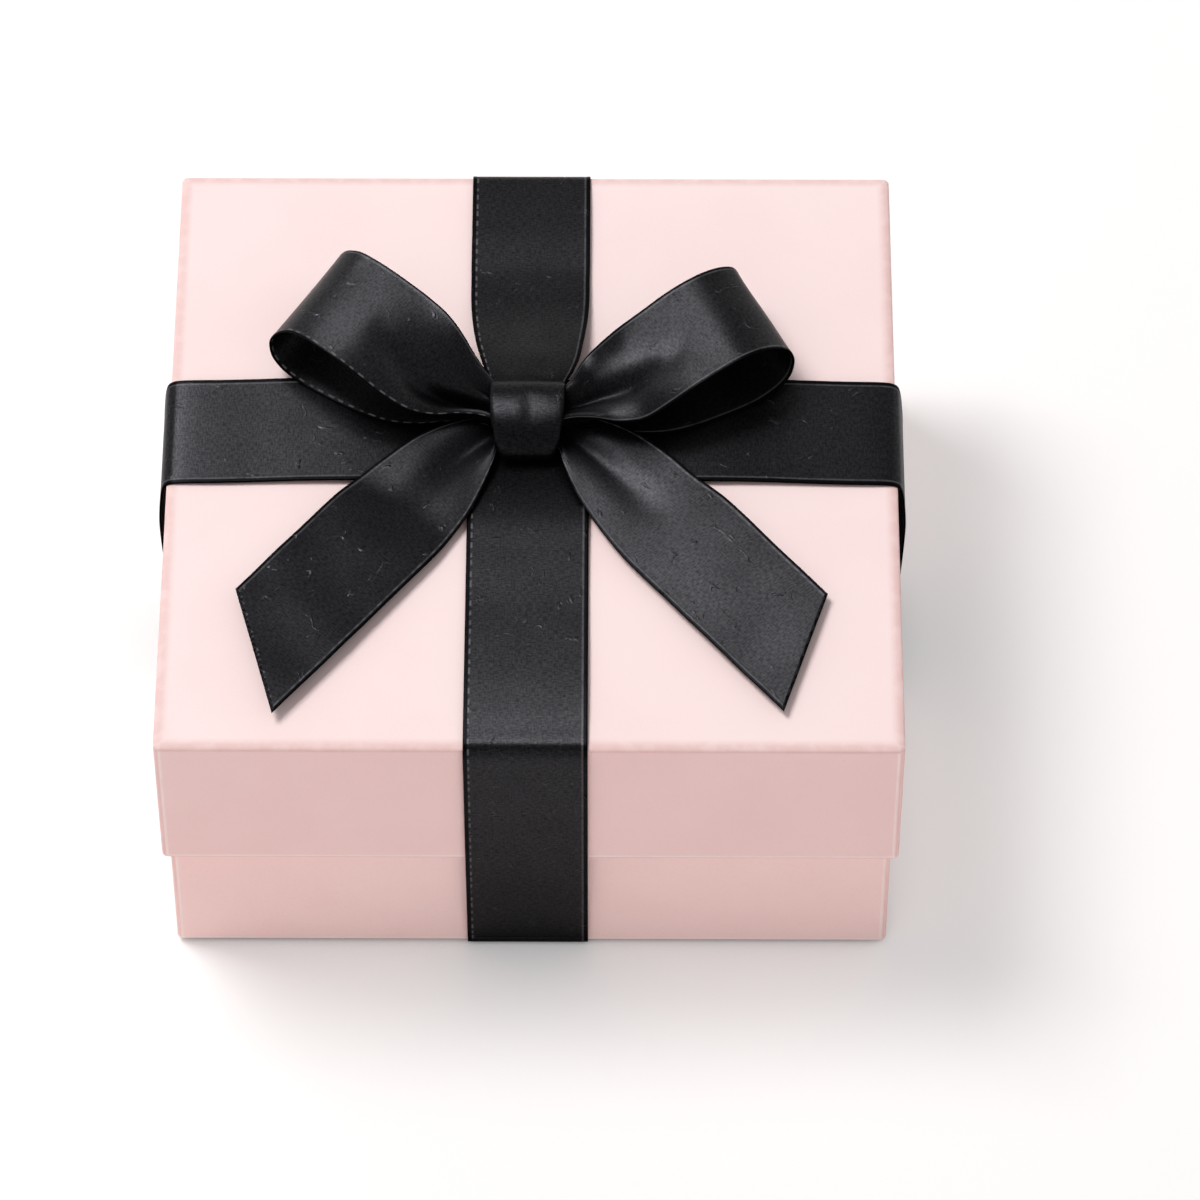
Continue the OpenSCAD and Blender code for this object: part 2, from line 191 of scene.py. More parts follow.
@dataclass(frozen=True)
class CoatedPaper:
    """Matt coated covering paper: dyed pulp with a thin chalk coat, pasted to board.

    The chalk coat gives an even, dry surface with hardly any gloss. A painted highlight runs as a
    pale line along the rim and beside each upright corner, and the fold beside an upright corner
    shows as a fine darker line. Painted shade darkens a thin line at the rim's bottom, a band along
    the closed side's edges, as deep as its depth setting says, and places near other surfaces.
    """

    name: str
    half_mm: float
    closed_mm: float
    rim_mm: float
    colour: str = "#f9e5e4"
    deeper: str = "#f8e2e1"
    edge_shade_depth: float = 2.0
    edge_highlight: str = "#fffaf8"
    crease_and_shade: str = "#e0b6b1"
    fleck: str = "#f5d8d5"
    fibre_mm: float = 0.45
    cloud_mm: float = 22.0
    uneven_mm: float = 3.0
    shade_reach_mm: float = 2.5
    corner_highlight_mm: float = 1.25
    corner_crease_mm: float = 0.62
    rim_shade_mm: Pair = (0.35, 0.55)
    rim_highlight_mm: Pair = (0.8, 1.25)
    edge_shade_mm: Pair = (0.8, 3.0)
    wall_to_top: float = 2.2
    edge_highlight_share: float = 0.85
    crease_and_shade_share: float = 0.3
    grain_mm: float = 0.05
    roughness: float = 0.62
    specular: float = 0.22

    def folds(self, s: Shader) -> tuple[Socket, Socket]:
        """Where the painted highlight is, and where the fold lines and the painted shade are, from 0 to
        1 or more.

        Args:
            s: The shader that the nodes go in.

        Returns:
            The painted highlight's amount, and the fold lines' and painted shade's amount.
        """
        place = s.run(Step.PLACE)
        x, y, z = s.node("ShaderNodeSeparateXYZ", None, {0: place}).outputs
        inward = [s.run(Step.MINUS, self.half_mm, s.run(Step.SIZE, s.run(Step.TIMES, axis, 1 / MM)))
                  for axis in (x, y)]
        height = s.run(Step.TIMES, z, 1 / MM)
        wall = s.run(Step.LEAST, *inward)
        corner = s.run(Step.MOST, *inward)
        closed = s.run(Step.TIMES, s.apart(height, self.closed_mm), self.wall_to_top)
        closed = s.run(Step.MOST, wall, closed)
        rim = s.run(Step.MOST, wall, s.apart(height, self.rim_mm))
        unevenness = s.run(Step.NOISE, place, 1 / (self.uneven_mm * MM), 3.0)
        # Painted highlight: a pale line along the rim and beside each upright corner, made uneven by a
        # noise.
        edge_highlight = s.run(Step.MOST,
                       s.run(Step.MINUS, s.run(Step.RAMP, rim, *self.rim_highlight_mm, 1.0, 0.0),
                             s.run(Step.RAMP, rim, *self.rim_shade_mm, 1.0, 0.0)),
                       s.run(Step.RAMP, s.apart(corner, self.corner_highlight_mm), 0.12, 0.4, 0.8, 0.0))
        edge_highlight = s.run(Step.TIMES, edge_highlight, s.run(Step.RAMP, unevenness, 0.25, 0.6, 0.55, 1.0))
        # A fine fold line beside each upright corner, and painted shade in a thin line at the rim's
        # bottom.
        crease_and_shade = s.run(Step.MOST,
                        s.run(Step.RAMP, s.apart(corner, self.corner_crease_mm), 0.1, 0.42, 1.0, 0.0),
                        s.run(Step.RAMP, rim, *self.rim_shade_mm, 2.2, 0.0))
        # Painted shade in a band along the closed side's edges, made uneven by the same noise.
        edge_shade = s.run(Step.TIMES, s.run(Step.RAMP, closed, *self.edge_shade_mm, 1.0, 0.0),
                          s.run(Step.RAMP, unevenness, 0.3, 0.6, 0.65, 1.0))
        return edge_highlight, s.run(Step.MOST, crease_and_shade, s.run(Step.TIMES, edge_shade, self.edge_shade_depth))

    def build(self) -> Material:
        """Makes the material."""
        s = Shader(bpy.data.materials.new(self.name))
        place = s.run(Step.PLACE)
        fibre = s.run(Step.NOISE, place, 1 / (self.fibre_mm * MM), 4.0, 0.6)
        cloud = s.run(Step.NOISE, place, 1 / (self.cloud_mm * MM), 2.0)
        edge_highlight, crease_and_shade = self.folds(s)
        # Painted shade: the paper darkens near other surfaces.
        open_air = s.node("ShaderNodeAmbientOcclusion", {"samples": 8},
                          {"Distance": self.shade_reach_mm * MM}).outputs["AO"]
        colour = srgb(self.colour)
        for amount, over in ((s.run(Step.RAMP, cloud, 0.35, 0.7), self.deeper),
                             (s.run(Step.RAMP, fibre, 0.5, 0.8, 0.0, 0.5), self.fleck),
                             (s.run(Step.TIMES, edge_highlight, self.edge_highlight_share), self.edge_highlight),
                             (s.run(Step.TIMES, crease_and_shade, self.crease_and_shade_share), self.crease_and_shade),
                             (s.run(Step.RAMP, open_air, 0.2, 0.75, 0.8, 0.0), self.crease_and_shade)):
            colour = s.run(Step.BLEND, amount, colour, srgb(over))
        height = s.run(Step.MINUS, fibre, s.run(Step.TIMES, crease_and_shade, 1.5))
        bump = s.run(Step.BUMP, 0.15, self.grain_mm * MM, height)
        return s.finish(s.run(Step.SURFACE, colour, self.roughness, self.specular, bump))


@dataclass(frozen=True)
class PlainPaper:
    """Uncoated paper: loose fibres on the surface scatter all gloss away."""

    name: str
    colour: str
    deeper: str
    fibre_mm: float
    roughness: float
    grain_mm: float = 0.06
    specular: float = 0.2

    def build(self) -> Material:
        """Makes the material."""
        s = Shader(bpy.data.materials.new(self.name))
        fibre = s.run(Step.NOISE, s.run(Step.PLACE), 1 / (self.fibre_mm * MM), 6.0, 0.65)
        dark = s.run(Step.RAMP, fibre, 0.35, 0.7)
        colour = s.run(Step.BLEND, dark, srgb(self.colour), srgb(self.deeper))
        bump = s.run(Step.BUMP, 0.25, self.grain_mm * MM, fibre)
        return s.finish(s.run(Step.SURFACE, colour, self.roughness, self.specular, bump))


class Edge(Enum):
    """How the thread beside a ribbon's selvedge shows: how strongly, and how far its dips are filled."""

    STITCHED = (0.6, 0.0)
    PLAIN = (0.32, 1.0)
    FAINT = (0.45, 0.5)


@dataclass(frozen=True)
class SatinRibbon:
    """Woven polyester satin ribbon, piece dyed black.

    Its long floats lie along the ribbon, so it has a soft sheen and a fine grain across. The
    woven selvedge is a firm, matt black cord at the border with a paler thread beside it, and a
    sealed end is a dark line. Painted shade takes the sheen away near other surfaces and near given
    places along the ribbon. Here and there the floats are scuffed. The grain is drawn coarser than
    the real 0.1 mm threads, so that it shows.
    """

    name: str
    width_mm: float
    left: Edge = Edge.PLAIN
    right: Edge = Edge.PLAIN
    line_mm: float = 1.05
    colour: str = "#030304"
    pale: str = "#0c0c0e"
    border: str = "#020203"
    thread: str = "#77777c"
    glint: str = "#f3f4ff"
    rib_mm: float = 0.34
    float_mm: float = 1.1
    stitch_mm: float = 2.5
    cloud_mm: float = 9.0
    scuff_mm: float = 5.5
    grain_mm: float = 0.12
    roughness: float = 0.37
    sheen: float = 0.26
    stretch_of_glint: float = 0.75
    turn_of_glint: float = 0.25
    shade_reach_mm: float = 14.0
    shaded_at: tuple[float, ...] = ()
    shade_fade_mm: Pair = (3.0, 28.0)
    shaded_to: float = 0.5
    sealed: tuple[Point, ...] = ()

    def edges(self, s: ClothShader) -> tuple[Socket, Socket]:
        """Where the matt border and the paler thread are, from 0 to 1 each.

        Args:
            s: The shader that the nodes go in.

        Returns:
            The border's and the thread's amount.
        """
        from_edge = s.run(Step.MINUS, self.width_mm / 2, s.run(Step.SIZE, s.across))
        border = s.run(Step.RAMP, from_edge, self.line_mm - 0.35, self.line_mm - 0.1, 1.0, 0.0)
        off_line = s.apart(from_edge, self.line_mm)
        line = s.run(Step.RAMP, off_line, 0.05, 0.36, 1.0, 0.0)
        wave = s.run(Step.SINE, s.run(Step.TIMES, s.along, math.tau / self.stitch_mm))
        wander = s.node("ShaderNodeTexNoise", {"noise_dimensions": "1D"},
                        {"W": s.run(Step.TIMES, s.along, 0.31), "Scale": 1.0, "Detail": 2.0}).outputs[0]
        drift = s.run(Step.RAMP, wander, 0.3, 0.7, -0.6, 0.6)
        dashes = s.run(Step.RAMP, s.run(Step.PLUS, wave, drift), -0.3, 0.4)
        amounts = []
        for edge in (self.right, self.left):
            shown, filled = edge.value
            amounts.append(s.run(Step.TIMES, s.run(Step.MOST, dashes, filled),
                                 s.run(Step.RAMP, wander, 0.2, 0.6, shown * 0.55, shown)))
        is_left = s.run(Step.RAMP, s.across, -0.5, 0.5)
        amount = s.run(Step.PLUS, s.run(Step.TIMES, amounts[1], is_left),
                       s.run(Step.TIMES, amounts[0], s.run(Step.MINUS, 1.0, is_left)))
        return border, s.run(Step.TIMES, line, amount)

    def ends(self, s: Shader, border: Socket) -> Socket:
        """Adds the dark line along each sealed end to the border.

        Args:
            s: The shader that the nodes go in.
            border: Where the matt border is, from 0 to 1.

        Returns:
            Where it or a sealed end is.
        """
        place = s.node("ShaderNodeSeparateXYZ", None, {0: s.run(Step.PLACE)}).outputs
        for x, y, direction in self.sealed:
            turn = math.radians(direction)
            out = s.run(Step.PLUS, s.run(Step.TIMES, place[0], math.cos(turn) / MM),
                        s.run(Step.TIMES, place[1], math.sin(turn) / MM))
            past = s.run(Step.MINUS, out, x * math.cos(turn) + y * math.sin(turn))
            border = s.run(Step.MOST, border, s.run(Step.RAMP, past, -0.8, -0.5))
        return border

    def sheen_left_in_shade(self, s: ClothShader) -> Socket:
        """How much of its sheen is left under painted shade: little near other surfaces and near the
        given places along the ribbon.

        Args:
            s: The shader that the nodes go in.

        Returns:
            The share of the sheen that is left.
        """
        # Painted shade on the sheen: it fades near other surfaces, and near each given place along the
        # ribbon.
        sheen_left = s.run(Step.RAMP, s.run(Step.OPEN_AIR, self.shade_reach_mm * MM), 0.46, 0.95, 0.04, 1.0)
        for middle in self.shaded_at:
            away = s.apart(s.along, middle)
            sheen_left = s.run(Step.TIMES, sheen_left,
                           s.run(Step.RAMP, away, *self.shade_fade_mm, self.shaded_to, 1.0))
        return sheen_left

    def scuffs(self, s: ClothShader) -> Socket:
        """Where the rare short scuffs are, from 0 to 1.

        Args:
            s: The shader that the nodes go in.

        Returns:
            Their amount.
        """
        swirl = s.noise(self.scuff_mm, 3.2, 1.0, 0.8)
        stroke = s.run(Step.RAMP, s.apart(swirl, 0.5), 0.01, 0.05, 1.0, 0.0)
        rare = s.noise(self.scuff_mm, 4.5, 1.0)
        return s.run(Step.TIMES, stroke, s.run(Step.RAMP, rare, 0.6, 0.72))

    def build(self) -> Material:
        """Makes the material, which reads the UV map named cloth."""
        s = ClothShader(bpy.data.materials.new(self.name))
        border, thread = self.edges(s)
        border = self.ends(s, border)
        grain = s.noise(self.rib_mm, self.float_mm)
        warp = s.noise(self.float_mm, self.rib_mm)
        cloud = s.noise(self.cloud_mm, self.cloud_mm)
        scuffs = self.scuffs(s)
        weave = s.run(Step.PLUS, s.run(Step.TIMES, grain, 0.6), s.run(Step.TIMES, warp, 0.4))

        colour = srgb(self.colour)
        for amount, over in ((s.run(Step.RAMP, weave, 0.35, 0.65), self.pale),
                             (s.run(Step.TIMES, scuffs, 0.02), self.thread),
                             (s.run(Step.TIMES, thread, 0.8), self.thread),
                             (border, self.border)):
            colour = s.run(Step.BLEND, amount, colour, srgb(over))
        grained = s.run(Step.TIMES, s.run(Step.RAMP, weave, 0.32, 0.68, 0.5, 1.5),
                        s.run(Step.RAMP, cloud, 0.3, 0.7, 0.93, 1.07))
        grained = s.run(Step.PLUS, grained, s.run(Step.TIMES, scuffs, 0.2))
        kept = s.run(Step.TIMES, self.sheen_left_in_shade(s), s.run(Step.RAMP, border, 0.0, 1.0, 1.0, 0.25))
        gloss = s.run(Step.TIMES, s.run(Step.TIMES, grained, self.sheen), kept)
        marks = s.run(Step.PLUS, s.run(Step.TIMES, thread, 0.6), s.run(Step.TIMES, scuffs, 1.6))
        height = s.run(Step.PLUS, s.run(Step.TIMES, weave, 0.5), marks)
        floats = s.node("ShaderNodeTangent", {"direction_type": "UV_MAP", "uv_map": "cloth"}).outputs[0]
        bump = s.run(Step.BUMP, 0.5, self.grain_mm * MM, height)
        return s.finish(s.run(Step.SURFACE, colour, self.roughness, gloss, bump, srgb(self.glint),
                              self.stretch_of_glint, self.turn_of_glint, floats))


# -------- ribbon pieces


@dataclass(frozen=True)
class Section:
    """One place along a strip of ribbon, in millimetres, with heights above the lid.

    Walking along the strip with its outside up, left and right are its selvedges. The crown
    is how far the middle bows out. The valley is a soft fold at valley_at, from -1 at the right
    selvedge to 1 at the left.
    """

    left: Point
    right: Point
    crown: float = 0.0
    valley: float = 0.0
    valley_at: float = 0.0
    ridges: float = 0.0


def catmull(a: Vector, b: Vector, c: Vector, d: Vector, t: float) -> Vector:
    """Interpolates from b to c on a smooth curve through a, b, c and d.

    Args:
        a: The point before.
        b: Where the stretch starts.
        c: Where it ends.
        d: The point after.
        t: How far along it, from 0 to 1.

    Returns:
        The point there.
    """
    slope_b, slope_c = (c - a) / 2, (d - b) / 2
    t2, t3 = t * t, t * t * t
    return (b * (2 * t3 - 3 * t2 + 1) + slope_b * (t3 - 2 * t2 + t)
            + c * (3 * t2 - 2 * t3) + slope_c * (t3 - t2))


def heading(direction: float) -> tuple[Vector, Vector]:
    """The level unit vectors along a direction, in degrees from +X, and to its left."""
    turn = math.radians(direction)
    u = Vector((math.cos(turn), math.sin(turn), 0))
    return u, Vector((-u.y, u.x, 0))


class RibbonStrip:
    """A strip of ribbon laid through its sections, as one cloth mesh with real thickness."""

    THICKNESS_MM = 0.36
    CORD_MM = 0.05
    CORD_IN_MM = 0.4
    CORD_WIDE_MM = 0.3
    PLEATS = 1.25
    WAVE_MM = 13
    WAVE_ACROSS = 0.9
    SEED_STEP = 7.3
    CELL_MM = 0.9
    CELLS_ACROSS = 34
    CROWDED = 0.28
    LOOK_MM = 0.4

    def __init__(self, name: str, sections: list[Section], width_mm: float,
                 ripple_mm: float = 0.0, seed: int = 1, turn_mm: float = 0.0,
                 fold: Pair = (0.3, 0.3)) -> None:
        """Takes the strip's shape.

        Args:
            name: The piece's name.
            sections: The places that it passes through.
            width_mm: Its cut width.
            ripple_mm: How far the cloth waves between its sections.
            seed: Where in the noise the waves are read.
            turn_mm: The bend's radius where the selvedges are turned under, or 0 where they aren't.
            fold: How wide its valley is, on the right and on the left, as shares of half its width.
        """
        self.name = name
        self.width_mm = width_mm
        self.ripple_mm = ripple_mm
        self.seed = seed
        self.turn_mm = turn_mm
        self.fold = fold
        lift = Vector((0, 0, LID_TOP))
        self.rows = [(Vector(s.left) + lift, Vector(s.right) + lift,
                      Vector((s.crown, s.valley, s.valley_at, s.ridges))) for s in sections]
        middles = [(left + right) / 2 for left, right, _ in self.rows]
        steps = [max((b - a).length, 1e-6) for a, b in zip(middles, middles[1:])]
        self.at = [sum(steps[:i]) for i in range(len(steps) + 1)]
        self.length_mm = self.at[-1]

    def _between(self, distance: float) -> tuple[Vector, Vector, Vector]:
        """The left and right selvedge and the fold values at a distance along the strip."""
        last = len(self.rows) - 1
        i = max(k for k in range(last) if k == 0 or self.at[k] <= distance)
        span = self.at[i + 1] - self.at[i]
        t = min(max((distance - self.at[i]) / span, 0.0), 1.0)
        rows = [self.rows[min(max(k, 0), last)] for k in (i - 1, i, i + 1, i + 2)]
        before = self.at[i] - self.at[i - 1] if i else span
        after = self.at[i + 2] - self.at[i + 1] if i + 2 <= last else span
        out = []
        for a, b, c, d in zip(*rows):
            a = b - (b - a) * min(span / before, 1.0)
            d = c + (d - c) * min(span / after, 1.0)
            out.append(catmull(a, b, c, d, t))
        return out[0], out[1], out[2]

    def _profile(self, v: float, fold: Vector) -> float:
        """How far the cloth stands out at v across the strip, in millimetres."""
        crown, valley, valley_at, ridges = fold
        dip = math.exp(-((v - valley_at) / self.fold[v > valley_at]) ** 2)
        pleats = math.cos(v * math.tau * self.PLEATS) * ridges
        from_edge = (1 - abs(v)) * self.width_mm / 2
        cord = self.CORD_MM * math.exp(-((from_edge - self.CORD_IN_MM) / self.CORD_WIDE_MM) ** 2)
        return crown * (1 - v * v) - valley * dip + pleats + cord

    def _across(self, v: float, half: float) -> Pair:
        """How far to the left the cloth is at v, and how far in, where its edges are turned under."""
        if not self.turn_mm:
            return v * half, 0.0
        reach = abs(v) * self.width_mm / 2
        flat = half - self.turn_mm
        bend = math.pi * self.turn_mm
        if reach <= flat:
            side, drop = reach, 0.0
        elif reach <= flat + bend:
            angle = (reach - flat) / self.turn_mm
            side = flat + self.turn_mm * math.sin(angle)
            drop = self.turn_mm * (1 - math.cos(angle))
        else:
            side, drop = flat - (reach - flat - bend), 2 * self.turn_mm
        return math.copysign(side, v), drop

    def _frame(self, distance: float) -> tuple[Vector, Vector, Vector, Vector]:
        """The middle, half the way to the left selvedge, the way out and the fold values there."""
        left, right, fold = self._between(distance)
        ahead = self._between(min(distance + self.LOOK_MM, self.length_mm))
        behind = self._between(max(distance - self.LOOK_MM, 0.0))
        run = (ahead[0] + ahead[1]) - (behind[0] + behind[1])
        out = (right - left).cross(run).normalized()
        return (left + right) / 2, (left - right) / 2, out, fold

    def point(self, place: tuple[Vector, Vector, Vector, Vector], distance: float, v: float) -> Vector:
        """The place of the cloth at v across one of its frames, in metres."""
        middle, to_left, out, fold = place
        half = to_left.length
        side, drop = self._across(v, half)
        wave = 0.0
        if self.ripple_mm:
            spot = Vector((distance / self.WAVE_MM, v * self.WAVE_ACROSS, self.seed * self.SEED_STEP))
            wave = noise.noise(spot) * self.ripple_mm
        return (middle + to_left * (side / half) + out * (self._profile(v, fold) + wave - drop)) * MM

    def build(self, satin: Material) -> Piece:
        """Makes the strip's mesh, with its cells crowded towards the selvedges.

        Args:
            satin: The ribbon's finish.

        Returns:
            The new piece, with a UV map named cloth in metres.
        """
        bm = bmesh.new()
        uv = bm.loops.layers.uv.new("cloth")
        cells = int(self.length_mm / self.CELL_MM)
        bmesh.ops.create_grid(bm, x_segments=cells, y_segments=self.CELLS_ACROSS, size=0.5)
        places = [self._frame(self.length_mm * i / cells) for i in range(cells + 1)]
        flat = {}
        for vert in bm.verts:
            t, v = vert.co.x + 0.5, vert.co.y * 2
            v += self.CROWDED * (v - v ** 3)
            flat[vert] = (t * self.length_mm * MM, v * self.width_mm / 2 * MM)
            vert.co = self.point(places[round(t * cells)], t * self.length_mm, v)
        for face in bm.faces:
            face.smooth = True
            for loop in face.loops:
                loop[uv].uv = flat[loop.vert]
        piece = new_piece(self.name, bm, satin)
        thick = piece.modifiers.new("thickness", "SOLIDIFY")
        thick.thickness = self.THICKNESS_MM * MM
        thick.offset = 0.0
        return piece


def declare(piece: Piece, body: str, nodes: tuple[str, ...]) -> Piece:
    """Hides the nodes that a piece of ribbon stands for, and hangs the piece on its body.

    Args:
        piece: The piece.
        body: The body that it rides on.
        nodes: The nodes that it stands for.

    Returns:
        The piece.
    """
    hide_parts(*nodes)
    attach(piece, body)
    return piece


def new_piece(name: str, bm: bmesh.types.BMesh, material: Material) -> Piece:
    """Turns a bmesh to an object in the scene.

    Args:
        name: The piece's name.
        bm: Its shape, which is freed.
        material: Its finish.

    Returns:
        The new object.
    """
    mesh = bpy.data.meshes.new(name)
    bm.to_mesh(mesh)
    bm.free()
    mesh.materials.append(material)
    piece = bpy.data.objects.new(name, mesh)
    bpy.context.scene.collection.objects.link(piece)
    return piece


# -------- the box


@dataclass
class CoveredBox:
    """The rigid box: two greyboard trays, each covered in pink paper and lined."""

    paper_mm: float = 0.15
    glue_mm: float = 0.1
    base_board_mm: float = 1.5
    lid_board_mm: float = 0.9
    turn_in_mm: float = 18.0
    lid_edge_mm: Pair = (1.6, 0.7)
    foot_edge_mm: Pair = (0.6, 0.6)
    rim_mm: float = 0.45
    upright_mm: float = 1.2
    bend_steps: int = 6
    upright_steps: int = 5
    corner_weight: int = 80

    def profile(self, half: float, closed: float, rim: float, wall: float, edge: Pair) -> list[Pair]:
        """The cover's half section, from its flat closed side to the edge turned in over the rim.

        Args:
            half: Half the tray's width.
            closed: The height of its closed side.
            rim: The height of its rim.
            wall: The covered wall's thickness.
            edge: How far the rounding along the closed side's edges reaches inwards and along the wall.

        Returns:
            How far out and how high each place is, in millimetres.
        """
        up = 1 if rim > closed else -1

        steps = self.bend_steps
        inner = half - wall

        def arc(reach: Pair, out: float, height: float, start: int) -> list[Pair]:
            """A quarter bend round a middle, from start quarters."""
            turns = [math.radians(90 * (start + i / steps)) for i in range(steps + 1)]
            return [(out + reach[0] * math.cos(t), height + up * reach[1] * math.sin(t)) for t in turns]

        rolled = (self.rim_mm, self.rim_mm)
        return (arc(edge, half - edge[0], closed + up * edge[1], -1)
                + arc(rolled, half - self.rim_mm, rim - up * self.rim_mm, 0)
                + arc(rolled, inner + self.rim_mm, rim - up * self.rim_mm, 1)
                + [(inner, rim - up * self.turn_in_mm)])

    def cover(self, name: str, section: list[Pair], paper: Material) -> Piece:
        """Makes one covering paper: outside, rim and the part turned in over the rim.

        Args:
            name: The piece's name.
            section: Its half section, from its closed side.
            paper: Its finish.

        Returns:
            The new piece.
        """
        bm = bmesh.new()
        half, height = section[0]
        bmesh.ops.create_grid(bm, x_segments=1, y_segments=1, size=half * MM)
        bmesh.ops.bevel(bm, geom=bm.verts[:], offset=self.upright_mm * MM, offset_type="OFFSET",
                        segments=self.upright_steps, profile=0.5, affect="VERTICES", material=-1)
        bmesh.ops.translate(bm, vec=(0, 0, height * MM), verts=bm.verts)
        edge = bm.edges[:]
        for (out_a, z_a), (out_b, z_b) in zip(section, section[1:]):
            made = bmesh.ops.extrude_edge_only(bm, edges=edge)
            ring = [g for g in made["geom"] if isinstance(g, bmesh.types.BMVert)]
            edge = [g for g in made["geom"] if isinstance(g, bmesh.types.BMEdge)
                    and all(v in set(ring) for v in g.verts)]
            bmesh.ops.scale(bm, vec=(out_b / out_a, out_b / out_a, 1), verts=ring)
            bmesh.ops.translate(bm, vec=(0, 0, (z_b - z_a) * MM), verts=ring)
        bmesh.ops.recalc_face_normals(bm, faces=bm.faces)
        for face in bm.faces:
            face.smooth = True
        piece = new_piece(name, bm, paper)
        thick = piece.modifiers.new("thickness", "SOLIDIFY")
        thick.thickness = self.paper_mm * MM
        thick.offset = -1.0
        normals = piece.modifiers.new("normals", "WEIGHTED_NORMAL")
        normals.weight = self.corner_weight
        return piece

    def build(self) -> list[Piece]:
        """Makes both covers and finishes the boards, tapes and linings.

        Returns:
            The new pieces.
        """
        lid_half, base_half = LID_HIGH.x / MM, BASE_HIGH.x / MM
        lid_paper = CoatedPaper("pink_lid_paper", lid_half, LID_TOP, LID_RIM)
        # The base's paper is painted paler than the lid's, so that its walls, which get less light, show
        # as light as the lid's. On the base, the rim's painted highlight and shade line run along its
        # foot, and there is no painted shade along the closed side's edges.
        base_paper = CoatedPaper("pink_base_paper", base_half, BASE_FOOT, BASE_FOOT,
                                 "#ffebe9", "#fee8e6", 0.0)
        covers = []
        for body, paper, closed, rim, board, edge in (
                ("lid", lid_paper, LID_TOP, LID_RIM, self.lid_board_mm, self.lid_edge_mm),
                ("base", base_paper, BASE_FOOT, BASE_RIM, self.base_board_mm, self.foot_edge_mm)):
            wall = self.paper_mm + self.glue_mm + board + self.paper_mm
            section = self.profile(paper.half_mm, closed, rim, wall, edge)
            piece = self.cover(f"{body}_cover", section, paper.build())
            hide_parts(f"{body}_wrap")
            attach(piece, body)
            covers.append(piece)
        for paper, layer in ((PlainPaper("greyboard", "#a29a8f", "#8b8378", 1.1, 0.9), "board"),
                             (PlainPaper("gummed_tape", "#d9c39a", "#cbb387", 0.8, 0.7), "stays"),
                             (PlainPaper("white_lining", "#f4efe9", "#ece6df", 0.6, 0.8), "liner")):
            made = paper.build()
            for body in ("base", "lid"):
                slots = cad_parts[f"{body}_{layer}"].data.materials
                slots.clear()
                slots.append(made)
        return covers


# -------- ribbon round the box


